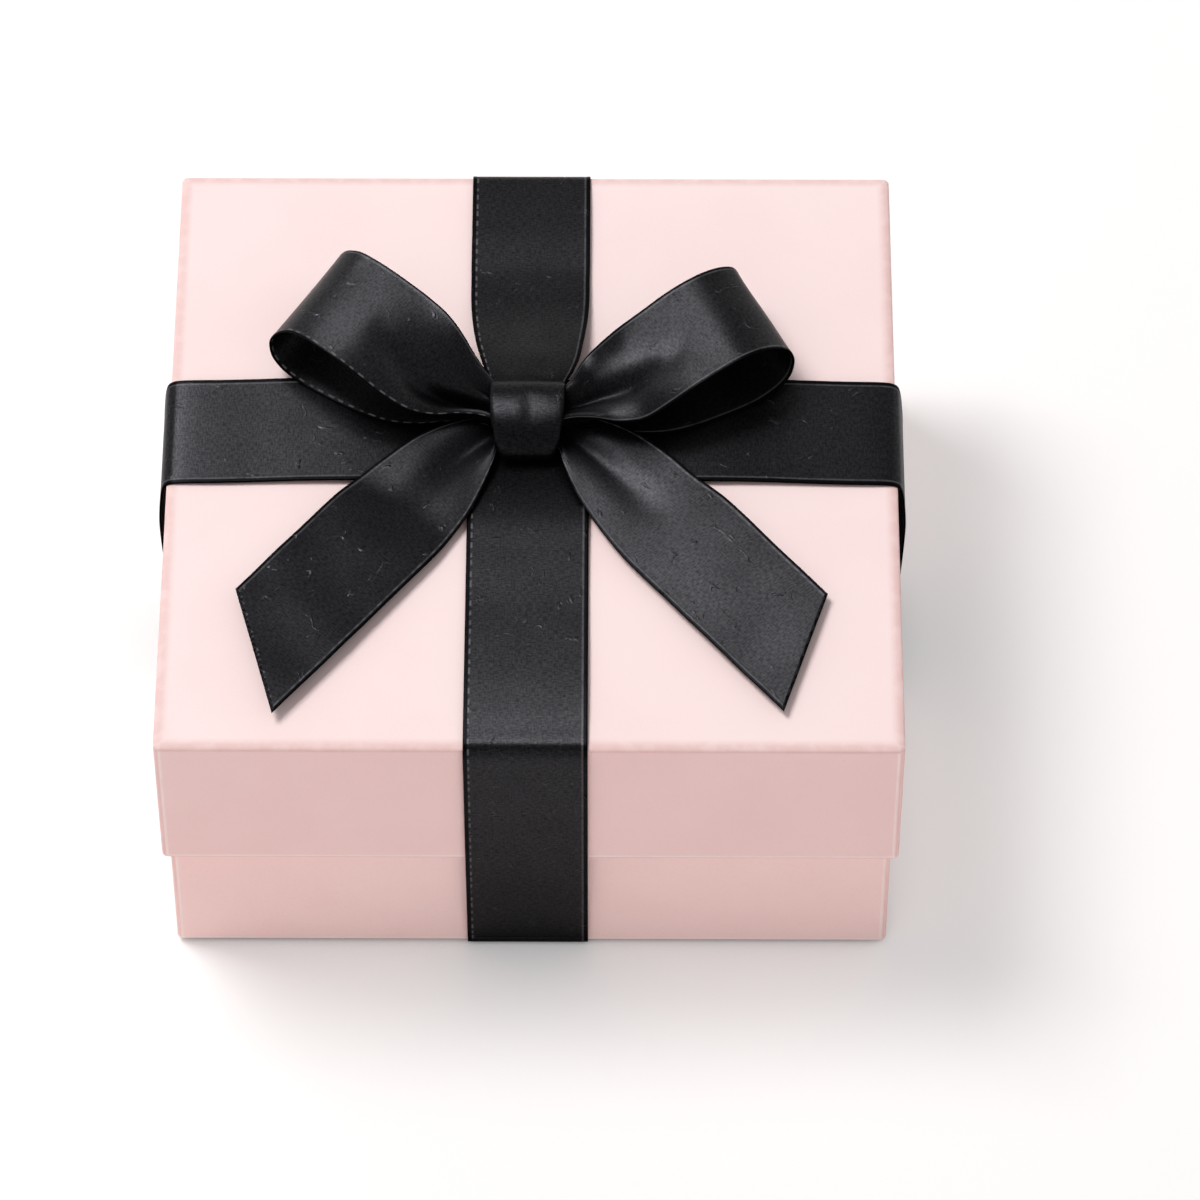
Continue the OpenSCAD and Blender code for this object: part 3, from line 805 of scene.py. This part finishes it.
@dataclass
class WrappedRibbon:
    """The ribbon round the box: over the lid, down its sides and across underneath."""

    long_mm: float = 25.4
    cross_mm: float = 27.5
    long_x: float = -0.8
    cross_y: float = 5.9
    half_lid: float = LID_HIGH.x / MM
    depth: float = LID_TOP
    foot_in_mm: float = 0.95
    foot_up_mm: float = 2.28
    low_mm: float = 0.24
    over_mm: float = 0.74
    slant_mm: float = 0.55
    slant_at_mm: Pair = (45.0, 67.0)

    def foot(self) -> Pair:
        """Where a fall ends, cut off just above the table."""
        return self.half_lid - self.foot_in_mm, BASE_FOOT - self.depth + self.foot_up_mm

    def soft_edge(self) -> list[Pair]:
        """Half of the left-to-right ribbon: how far out it is and how high, over the lid."""
        path = [(-66, 0.35), (-54, 0.9), (-40, 1.1), (-28, 0.95), (-18, 0.75), (-10, 0.68), (-5.5, 0.62),
                (-2.6, 0.48), (-0.8, 0.2), (0.42, -0.62), (0.95, -2.1), (1.25, -4.0), (1.5, -6.5),
                (1.78, -10), (1.95, -14), (1.85, -20), (1.45, -30), (0.9, -38.3), (0.1, -50)]
        return [(self.half_lid + out, z) for out, z in path] + [self.foot()]

    def firm_edge(self) -> list[Pair]:
        """Half of the front-to-back ribbon: it bends close over the lid's edge."""
        path = [(-27, 0.85), (-17, 0.95), (-9, 0.8), (-4.5, 0.6), (-2.2, 0.5), (-0.85, 0.32),
                (-0.02, -0.08), (0.4, -0.8), (0.6, -2.0), (0.68, -4), (0.72, -10), (0.7, -24),
                (0.6, -38), (-0.1, -54)]
        return [(self.half_lid + out, z) for out, z in path] + [self.foot()]

    def cross(self) -> list[Section]:
        """The left-to-right ribbon's sections, from its left foot to its right foot."""
        half = self.cross_mm / 2
        run = self.soft_edge()
        start, end = self.slant_at_mm
        sections = []
        for x, z in [(-x, z) for x, z in reversed(run)] + run:
            y = self.cross_y - self.slant_mm * min(max((abs(x) - start) / (end - start), 0.0), 1.0)
            sections.append(Section((x, y + half, z), (x, y - half, z)))
        return sections

    def front(self) -> list[Section]:
        """The front stretch's sections, from its foot up to its end under the knot."""
        half = self.long_mm / 2
        run = [(-y, z) for y, z in reversed(self.firm_edge())]
        run += [(-38.0, 0.65), (-26.0, 0.75), (-18.0, 1.0), (-11.0, 0.95), (-5.0, 0.8), (6.0, 0.8)]
        return [Section((self.long_x - half, y, z), (self.long_x + half, y, z)) for y, z in run]

    def rear(self) -> list[Section]:
        """The rear stretch's sections, from its foot up to the top of the knot, where it is gathered."""
        half, x = self.long_mm / 2, self.long_x
        run = [Section((x + half, y, z), (x - half, y, z)) for y, z in reversed(self.firm_edge())]
        rise = [(46, 0.95, 11.85, -13.45), (40, 1.3, 11.8, -13.4, 0.1), (34, 2.2, 11.4, -13, 0.3),
                (27.5, 3.6, 10.6, -12.2, 0.6, 0, 0, 0.1), (21.5, 5.1, 9.7, -11, 0.9, 0, 0, 0.1),
                (16.6, 6.4, 8.3, -9.9, 0.9, 0.1, 0.1, 0.1), (13.8, 7, 7.2, -9.2, 0.8),
                (11, 7, 6.8, -8.9, 0.6)]
        return run + [Section((left, y, z), (right, y, z), *folds) for y, z, left, right, *folds in rise]

    def under(self, crossed_mm: float, middle: float, lifted: bool) -> list[Pair]:
        """One run under the box, from one turned-up end to the other.

        Args:
            crossed_mm: The width of the ribbon that it crosses.
            middle: Where it crosses it.
            lifted: Whether it passes over the other run.

        Returns:
            How far along it is and how high, over the lid.
        """
        side, half = self.foot()[0], crossed_mm / 2
        end = [(side, 3.2), (side, 2.4), (side - 0.25, 1.1), (side - 1.2, 0.4), (side - 3, self.low_mm),
               (side - 20, self.low_mm)]
        hump = [(middle + half + 5, self.low_mm), (middle + half + 1, self.over_mm),
                (middle - half - 1, self.over_mm), (middle - half - 5, self.low_mm)]
        run = end + hump * lifted + [(-x, z) for x, z in reversed(end)]
        return [(x, z - self.depth) for x, z in run]

    def build(self) -> list[Piece]:
        """Makes the strips round the box.

        Returns:
            The new pieces.
        """
        # Painted shade takes the sheen off the front stretch just in front of the knot, and off the rear
        # stretch near the knot.
        front_satin = SatinRibbon("black_satin_front_ribbon", self.long_mm, left=Edge.STITCHED,
                                  shaded_at=(146.0,), shade_fade_mm=(4.0, 40.0), shaded_to=0.2).build()
        long_satin = SatinRibbon("black_satin_ribbon", self.long_mm, right=Edge.STITCHED,
                                 shaded_at=(131.0,), shade_fade_mm=(2.0, 22.0), shaded_to=0.6).build()
        cross_satin = SatinRibbon("black_satin_ribbon_wide", self.cross_mm).build()
        half, cross_half = self.long_mm / 2, self.cross_mm / 2
        under_long = [Section((self.long_x + half, y, z), (self.long_x - half, y, z))
                      for y, z in self.under(self.cross_mm, self.cross_y, False)]
        under_cross = [Section((x, self.cross_y - cross_half, z), (x, self.cross_y + cross_half, z))
                       for x, z in self.under(self.long_mm, self.long_x, True)]
        pieces = []
        for name, sections, width, satin, body, nodes, rests_on in (
                ("cross_ribbon", self.cross(), self.cross_mm, cross_satin, "ribbon",
                 ("ribbon_top_cross", "ribbon_fall_left", "ribbon_fall_right"), ["lid_cover"]),
                ("front_ribbon", self.front(), self.long_mm, front_satin, "ribbon",
                 ("ribbon_arm_front", "ribbon_fall_front"), ["lid_cover"]),
                ("rear_ribbon", self.rear(), self.long_mm, long_satin, "ribbon",
                 ("ribbon_arm_rear", "ribbon_fall_rear"), ["lid_cover"]),
                ("under_ribbon_long", under_long, self.long_mm, long_satin, "base",
                 ("ribbon_under_long",), ["base_cover"]),
                ("under_ribbon_cross", under_cross, self.cross_mm, cross_satin, "base",
                 ("ribbon_under_cross",), ["base_cover", "under_ribbon_long"])):
            strip = RibbonStrip(name, sections, width)
            pieces.append(declare(strip.build(satin), body, nodes))
        return pieces


# -------- bow


@dataclass(frozen=True)
class LoopRow:
    """One place along a loop: how far out it is, and each selvedge's height and distance from the axis.

    The rear selvedge comes first. The valley's place is from -1 at the rear to 1 at the front.
    """

    out: float
    rear: float
    front: float
    to_rear: float
    to_front: float
    valley: float = 0.0
    valley_at: float = 0.0
    ridges: float = 0.0


@dataclass
class Bow:
    """The bow: a knot, two loops and two tails of the same ribbon."""

    width_mm: float = 26.5
    loop_mm: float = 116.0
    tail_mm: float = 80.0
    tail_rise: Point = (0.0, -0.75, 1.0)
    left_cut: Point = (-56.5, -54.4, -165.0)
    right_cut: Point = (56.4, -53.85, -17.5)
    x: float = -1.3
    y: float = 3.5

    def left_loop(self) -> list[LoopRow]:
        """The left loop, out along its top and back along its bottom."""
        rows = [(3.0, 7.2, 7.2, 3.2, 3.2, 1.4, 0.3, 0.5), (9.0, 7.2, 6.9, 4.1, 4.0, 2.2, 0.35, 0.6),
                (13.2, 8.2, 6.7, 5.2, 6.1, 3, 0.4, 0.5), (17.2, 10.7, 7.0, 6.3, 9.5, 3.2, 0.4, 0.3),
                (21.4, 13.4, 9.1, 7.9, 12.7, 2.6, 0.38, 0.1), (26.3, 14.7, 12.4, 9.7, 14.6, 1.5, 0.3),
                (32.1, 15.2, 15.5, 11.0, 15.2, 0.6, 0.2), (38.0, 15.6, 16.9, 11.9, 14.7),
                (43.0, 15.8, 17.0, 12.6, 14.0), (47.3, 15.6, 16.5, 13.2, 13.3),
                (51.3, 15.0, 15.2, 13.5, 12.9), (54.5, 13.1, 12.4, 13.4, 12.9),
                (56.2, 10.0, 8.8, 13.2, 13.1), (55.3, 6.6, 5.4, 12.8, 13.7),
                (52.5, 3.4, 2.8, 12.7, 13.9), (47.5, 2.0, 1.7, 12.7, 14.1),
                (40.0, 1.7, 1.5, 12.7, 14.2), (32.0, 1.7, 1.6, 12.4, 13.9, 0.2, -0.4),
                (26.0, 2.0, 1.7, 11.0, 12.6, 0.5, -0.4), (20.5, 2.7, 2.0, 8.2, 9.9, 0.8, -0.4, 0.2),
                (15.5, 3.5, 3.0, 5.6, 6.9, 0.8, -0.4, 0.4), (9.0, 4.3, 4.3, 3.8, 4.4, 0.6, -0.4, 0.4),
                (3.0, 4.3, 4.3, 3.2, 3.2, 0.4, -0.4, 0.4)]
        return [LoopRow(*row) for row in rows]

    def right_loop(self) -> list[LoopRow]:
        """The right loop, out along its top and back along its bottom."""
        rows = [(3.0, 7.2, 7.2, 3.2, 3.2, 1.4, -0.05, 0.5), (8.9, 6.8, 7.1, 3.8, 4.1, 2.2, -0.05, 0.6),
                (13.1, 7.8, 7.4, 4.9, 6.5, 2.8, 0, 0.5), (17.2, 10.3, 7.5, 6.7, 9.7, 3, 0.05, 0.3),
                (21.7, 10.9, 9.2, 8.6, 12.6, 2.4, 0.1, 0.1), (27.0, 10.9, 12.7, 10.7, 13.9, 1.4, 0.15),
                (32.7, 11.7, 15.4, 12.0, 14.1, 0.6, 0.2), (38.6, 13.2, 16.8, 12.8, 13.7),
                (43.7, 14.6, 17.9, 12.9, 13.6), (48.5, 15.2, 17.7, 13.0, 13.4),
                (52.6, 14.6, 16.1, 13.1, 13.2), (55.4, 13.0, 13.6, 13.1, 13.1),
                (56.5, 10.4, 10.1, 13.0, 13.2), (55.5, 7.4, 6.4, 12.7, 13.7),
                (52.8, 4.2, 3.6, 12.7, 13.9), (47.8, 2.1, 1.8, 12.7, 14.1),
                (40.0, 1.7, 1.5, 12.7, 14.1), (32.0, 1.7, 1.6, 12.4, 13.8, 0.2, 0.4),
                (26.0, 2.0, 1.7, 11.2, 12.5, 0.5, 0.4), (20.5, 2.7, 2.0, 8.6, 9.8, 0.8, 0.4, 0.2),
                (15.5, 3.5, 3.1, 5.8, 6.7, 0.8, 0.4, 0.4), (9.0, 4.3, 4.3, 4.0, 4.3, 0.6, 0.4, 0.4),
                (3.0, 4.3, 4.3, 3.2, 3.2, 0.4, 0.4, 0.4)]
        return [LoopRow(*row) for row in rows]

    def loop_sections(self, rows: list[LoopRow], direction: float, front_is_left: bool) -> list[Section]:
        """Turns a loop's rows to sections.

        Args:
            rows: The loop's places.
            direction: Where it points, in degrees from +X.
            front_is_left: Whether its front selvedge is on the left, walking outwards.

        Returns:
            Its sections.
        """
        u, left = heading(direction)
        side = 1 if front_is_left else -1
        sections = []
        for row in rows:
            middle = Vector((self.x, self.y, 0)) + u * row.out
            front = middle + left * side * row.to_front + Vector((0, 0, row.front))
            rear = middle - left * side * row.to_rear + Vector((0, 0, row.rear))
            a, b = (front, rear) if front_is_left else (rear, front)
            sections.append(Section(tuple(a), tuple(b), 0.0, row.valley, side * row.valley_at,
                                    row.ridges))
        return sections

    def left_tail(self) -> list[Section]:
        """The left tail, from its neck to beyond its cut end; walking out, its front edge is left."""
        rows = [((-2, 0.2, 3.2), (-2, 6.4, 3.5), 1.2, 0.4),
                ((-7.2, -0.6, 3), (-8.6, 6.7, 3.5), 1.6, 0.5),
                ((-8, -3.8, 2.7), (-13.6, 6.5, 3.5), 1.8, 0.3),
                ((-9.2, -7.6, 2.4), (-19, 5, 3.3), 1.8, 0.1),
                ((-10.9, -12.2, 2.1), (-24.5, 2.3, 2.8), 1.5, 0),
                ((-13.2, -17.6, 1.8), (-30.2, -2.2, 2.2), 0.9, 0),
                ((-16.8, -23.8, 1.6), (-36.2, -7.6, 1.8), 0.4, 0)]
        return self.tail(rows, -129, (-10.9, 3.1), -0.5, 1.3)

    def right_tail(self) -> list[Section]:
        """The right tail, from its neck to beyond its cut end; walking out, its outer edge is left."""
        rows = [((-1, 6.4, 3.5), (-1, 0.2, 3.2), 1.2, 0.4),
                ((6.6, 7.2, 3.5), (5.4, -0.9, 3), 1.6, 0.5),
                ((12.4, 7, 3.5), (6.3, -4, 2.7), 1.9, 0.3),
                ((17.5, 5.6, 3.3), (7.6, -8, 2.4), 1.9, 0.1),
                ((22.4, 3.3, 2.8), (9.4, -12.6, 2.1), 1.6, 0),
                ((28.3, -1.3, 2.2), (12.7, -18.6, 1.8), 1, 0),
                ((34, -7, 1.8), (16.5, -24.8, 1.6), 0.4, 0)]
        return self.tail(rows, -50, (10.1, 1.8), 0.6, 0.6)

    def tail(self, rows: list[tuple[Point, Point, float, float]], direction: float,
             root: Pair, shift: float, lift: float) -> list[Section]:
        """Joins a tail's gathered neck and its straight stretch.

        Args:
            rows: Its neck's left and right selvedge, valley and ridges at each place.
            direction: Where the straight stretch points, in degrees from +X.
            root: Where its places are measured from.
            shift: How far it lies to its left.
            lift: How far its end rises off the lid, in millimetres.

        Returns:
            Its sections.
        """
        u, left = heading(direction)
        half = self.width_mm / 2
        sections = [Section(a, b, 0.0, valley, 0.0, ridges) for a, b, valley, ridges in rows]
        for place, height, raised in ((30, 1.55, 0.25), (45, 1.55, 0.625), (60, 1.3, 1), (75, 1.3, 1),
                                      (92, 1.3, 1)):
            middle = Vector((*root, height)) + u * place + left * shift
            middle += Vector(self.tail_rise) * lift * raised
            sections.append(Section(tuple(middle + left * half), tuple(middle - left * half), 0.15))
        return sections

    def knot(self) -> list[Section]:
        """The knot, from the rear underneath, over the top and round the front."""
        middle, y = -1.1, 6.0
        rows = [(5.0, 1.8, 6.0, 0.0), (7.4, 3.4, 6.9, 0.0), (7.9, 5.6, 7.5, 0.3), (6.9, 7.5, 7.9, 0.6),
                (4.4, 8.4, 8.0, 0.9), (1.2, 8.35, 7.9, 1.2, 0.35), (-2.2, 7.7, 7.6, 1.3, 0.5),
                (-5.2, 6.4, 7.1, 1.3, 0.35), (-7.7, 4.4, 6.4, 1.1, 0.3), (-8.8, 2.7, 5.4, 0.8, 0.2),
                (-8.3, 1.7, 4.5, 0.4, 0.1), (-5.0, 1.5, 4.5, 0.0)]
        return [Section((middle + half, y + dy, z), (middle - half, y + dy, z), crown, *crease,
                        valley_at=-0.03) for dy, z, half, crown, *crease in rows]

    def trim(self, piece: Piece, x: float, y: float, direction: float) -> None:
        """Cuts a tail's end off along a slanting line.

        Args:
            piece: The tail.
            x: A point on the cut, in millimetres.
            y: The same point.
            direction: Which way the cut off part lies, in degrees from +X.
        """
        bm = bmesh.new()
        bm.from_mesh(piece.data)
        bmesh.ops.bisect_plane(bm, geom=bm.verts[:] + bm.edges[:] + bm.faces[:],
                               plane_co=(x * MM, y * MM, 0), plane_no=heading(direction)[0],
                               clear_outer=True)
        bm.to_mesh(piece.data)
        bm.free()

    def build(self) -> list[Piece]:
        """Makes the bow.

        Returns:
            The new pieces.
        """
        cuts = {"left_tail": self.left_cut, "right_tail": self.right_cut}
        # The loops and the knot are one ribbon, but their sheen is set apart: higher on the left loop as
        # a painted highlight, lower on the right loop and the knot as painted shade. Painted shade also
        # takes the sheen off the loops' and tails' necks, and reaches further from other surfaces on the
        # right loop, the knot and the tails.
        left_satin = SatinRibbon("black_satin_left_loop", self.width_mm, left=Edge.STITCHED, line_mm=0.6,
                                 sheen=0.33, shaded_at=(0.0, self.loop_mm)).build()
        right_satin = SatinRibbon("black_satin_right_loop", self.width_mm, line_mm=0.8, sheen=0.22,
                                  shade_reach_mm=18.0, shaded_at=(0.0, self.loop_mm)).build()
        knot_satin = SatinRibbon("black_satin_knot", self.width_mm, line_mm=0.6, sheen=0.17,
                                 shade_reach_mm=36.0).build()
        tail_satin = SatinRibbon("black_satin_tails", self.width_mm, left=Edge.FAINT, line_mm=0.8,
                                 shade_reach_mm=18.0, shaded_at=(0.0,), sealed=tuple(cuts.values())).build()
        left_loop = self.loop_sections(self.left_loop(), 147, True)
        right_loop = self.loop_sections(self.right_loop(), 27, False)
        on_cross, on_front = ["cross_ribbon", "lid_cover"], ["front_ribbon", "lid_cover"]
        narrow = (0.26, 0.26)
        pieces = []
        for name, sections, satin, node, rests_on, shape in (
                ("left_loop", left_loop, left_satin, "bow_loop_left", on_cross, (0.3, 1, 0, narrow)),
                ("right_loop", right_loop, right_satin, "bow_loop_right", on_cross, (0.3, 2, 0, narrow)),
                ("left_tail", self.left_tail(), tail_satin, "bow_tail_left", on_front, (0.3, 3)),
                ("right_tail", self.right_tail(), tail_satin, "bow_tail_right", on_front, (0.35, 4)),
                ("knot_band", self.knot(), knot_satin, "bow_knot", ["front_ribbon"],
                 (0.08, 5, 0.35, (0.035, 0.3)))):
            strip = RibbonStrip(name, sections, self.width_mm, *shape)
            piece = strip.build(satin)
            if name in cuts:
                self.trim(piece, *cuts[name])
            pieces.append(declare(piece, "ribbon", (node,)))
        return pieces


# -------- studio


class Reach(Enum):
    """Which light of a lamp reaches the object: what it scatters, or what it mirrors."""

    MATT = (True, False)
    SHEEN = (False, True)


@dataclass(frozen=True)
class Lamp:
    """A square soft lamp: where it hangs and its side in metres, its power, colour and reach."""

    name: str
    spot: Point
    side_m: float
    watts: float
    colour: str
    reach: Reach


@dataclass
class Studio:
    """The floor, the soft lights and the camera."""

    distance_mm: float = 1477.9
    elevation: float = 52.907
    azimuth: float = 0.133
    roll: float = 0.053
    aim_right_mm: float = 14.24
    aim_up_mm: float = 12.18
    lens_mm: float = 202.9
    film_mm: float = 36.0
    view_m: float = 20.0
    horizon: float = 0.8
    zenith: float = 0.36
    haze: Colour = (1.0, 0.97, 0.965, 1.0)
    lamps: tuple[Lamp, ...] = (
        Lamp("soft_lamp", (-0.9, 0.5, 1.95), 0.9, 33.0, "#fffdfc", Reach.MATT),
        Lamp("sheen_lamp", (-0.69, 0.74, 1.94), 0.9, 45.0, "#fffdfc", Reach.SHEEN),
        Lamp("front_fill", (0.0, -2.2, 0.2), 1.4, 4.4, "#ffe6e0", Reach.MATT))
    floor_m: float = 3.0
    floor_low_m: float = 0.00002
    floor_shown: float = 1.02
    floor_lift: float = 0.34
    floor_warm: str = "#f4dad6"
    floor_cool: str = "#d6d6d8"
    contact_mm: float = 20.0

    def camera(self) -> None:
        """Places the camera and makes it the scene's own."""
        el, az, roll = (math.radians(a) for a in (self.elevation, self.azimuth, self.roll))
        back = Vector((math.sin(az) * math.cos(el), -math.cos(az) * math.cos(el), math.sin(el)))
        level = Vector((math.cos(az), math.sin(az), 0))
        rise = back.cross(level)
        right = level * math.cos(roll) + rise * math.sin(roll)
        up = rise * math.cos(roll) - level * math.sin(roll)
        spot = (back * self.distance_mm + right * self.aim_right_mm + up * self.aim_up_mm) * MM
        spot.z += BASE_FOOT * MM
        data = bpy.data.cameras.new("camera")
        data.lens = self.lens_mm
        data.sensor_width = self.film_mm
        data.clip_end = self.view_m
        camera = bpy.data.objects.new("camera", data)
        turn = Matrix((right, up, back)).transposed().to_4x4()
        camera.matrix_world = Matrix.Translation(spot) @ turn
        bpy.context.scene.collection.objects.link(camera)
        bpy.context.scene.camera = camera

    def floor(self) -> None:
        """Makes a plain white floor that shows white to the camera. For the camera it also glows,
        lightening the object's cast shadow, and the glow fades near the object as a painted contact
        shadow.
        """
        s = Shader(bpy.data.materials.new("studio_floor"))
        path = s.node("ShaderNodeLightPath").outputs
        camera_ray = path["Is Camera Ray"]
        bounce = s.run(Step.BLEND, path["Is Glossy Ray"], srgb(self.floor_warm), srgb(self.floor_cool))
        shown = (self.floor_shown - self.floor_lift,) * 3 + (1.0,)
        colour = s.run(Step.BLEND, camera_ray, bounce, shown)
        diffuse = s.node("ShaderNodeBsdfDiffuse", None, {"Color": colour})
        # Painted light and shade: the floor glows for the camera, lifting the cast shadow, and glows
        # less near the object, as a painted contact shadow.
        open_air = s.run(Step.OPEN_AIR, self.contact_mm * MM)
        glow = s.run(Step.TIMES, camera_ray, s.run(Step.RAMP, open_air, 0.0, 0.6, 0.0, self.floor_lift))
        lift = s.node("ShaderNodeEmission", None, {"Color": WHITE, "Strength": glow})
        shader = s.node("ShaderNodeAddShader", None, {0: diffuse.outputs[0], 1: lift.outputs[0]})
        bm = bmesh.new()
        bmesh.ops.create_grid(bm, x_segments=1, y_segments=1, size=self.floor_m)
        floor = new_piece("floor", bm, s.finish(shader.outputs[0]))
        floor.location.z = -self.floor_low_m

    def hang(self, lamp: Lamp) -> None:
        """Adds a lamp that points at the object."""
        light = bpy.data.lights.new(lamp.name, "AREA")
        light.energy, light.size = lamp.watts, lamp.side_m
        light.color = srgb(lamp.colour)[:3]
        made = bpy.data.objects.new(lamp.name, light)
        place = Vector(lamp.spot)
        turn = place.to_track_quat("Z", "Y").to_matrix().to_4x4()
        made.matrix_world = Matrix.Translation(place) @ turn
        made.visible_diffuse, made.visible_glossy = lamp.reach.value
        bpy.context.scene.collection.objects.link(made)

    def lights(self) -> None:
        """Hangs the lamps and makes an even surround, which shows white to the camera."""
        for lamp in self.lamps:
            self.hang(lamp)
        bpy.context.scene.world = bpy.data.worlds.new("surround")
        s = Shader(bpy.context.scene.world)
        path = s.node("ShaderNodeLightPath").outputs["Is Camera Ray"]
        towards = s.node("ShaderNodeTexCoord").outputs["Generated"]
        height = s.node("ShaderNodeSeparateXYZ", None, {0: towards}).outputs[2]
        strength = s.run(Step.RAMP, height, 0.0, 0.8, self.horizon, self.zenith)
        soft = s.node("ShaderNodeBackground", None, {"Color": self.haze, "Strength": strength})
        white = s.node("ShaderNodeBackground", None, {"Color": WHITE, "Strength": 1.0})
        mix = s.node("ShaderNodeMixShader", None, {0: path, 1: soft.outputs[0], 2: white.outputs[0]})
        s.finish(mix.outputs[0])

    def build(self) -> None:
        """Sets up everything that isn't the object."""
        self.camera()
        self.floor()
        self.lights()
        bpy.context.scene.view_settings.view_transform = "Standard"


def main() -> None:
    """Builds the studio, the box, the ribbon and the bow, in that order."""
    logging.basicConfig(level=logging.INFO, format="%(message)s")
    Studio().build()
    for maker in (CoveredBox(), WrappedRibbon(), Bow()):
        for piece in maker.build():
            LOG.info("%s: %s with %d faces", type(maker).__name__, piece.name, len(piece.data.polygons))


if __name__ == "__main__":
    main()
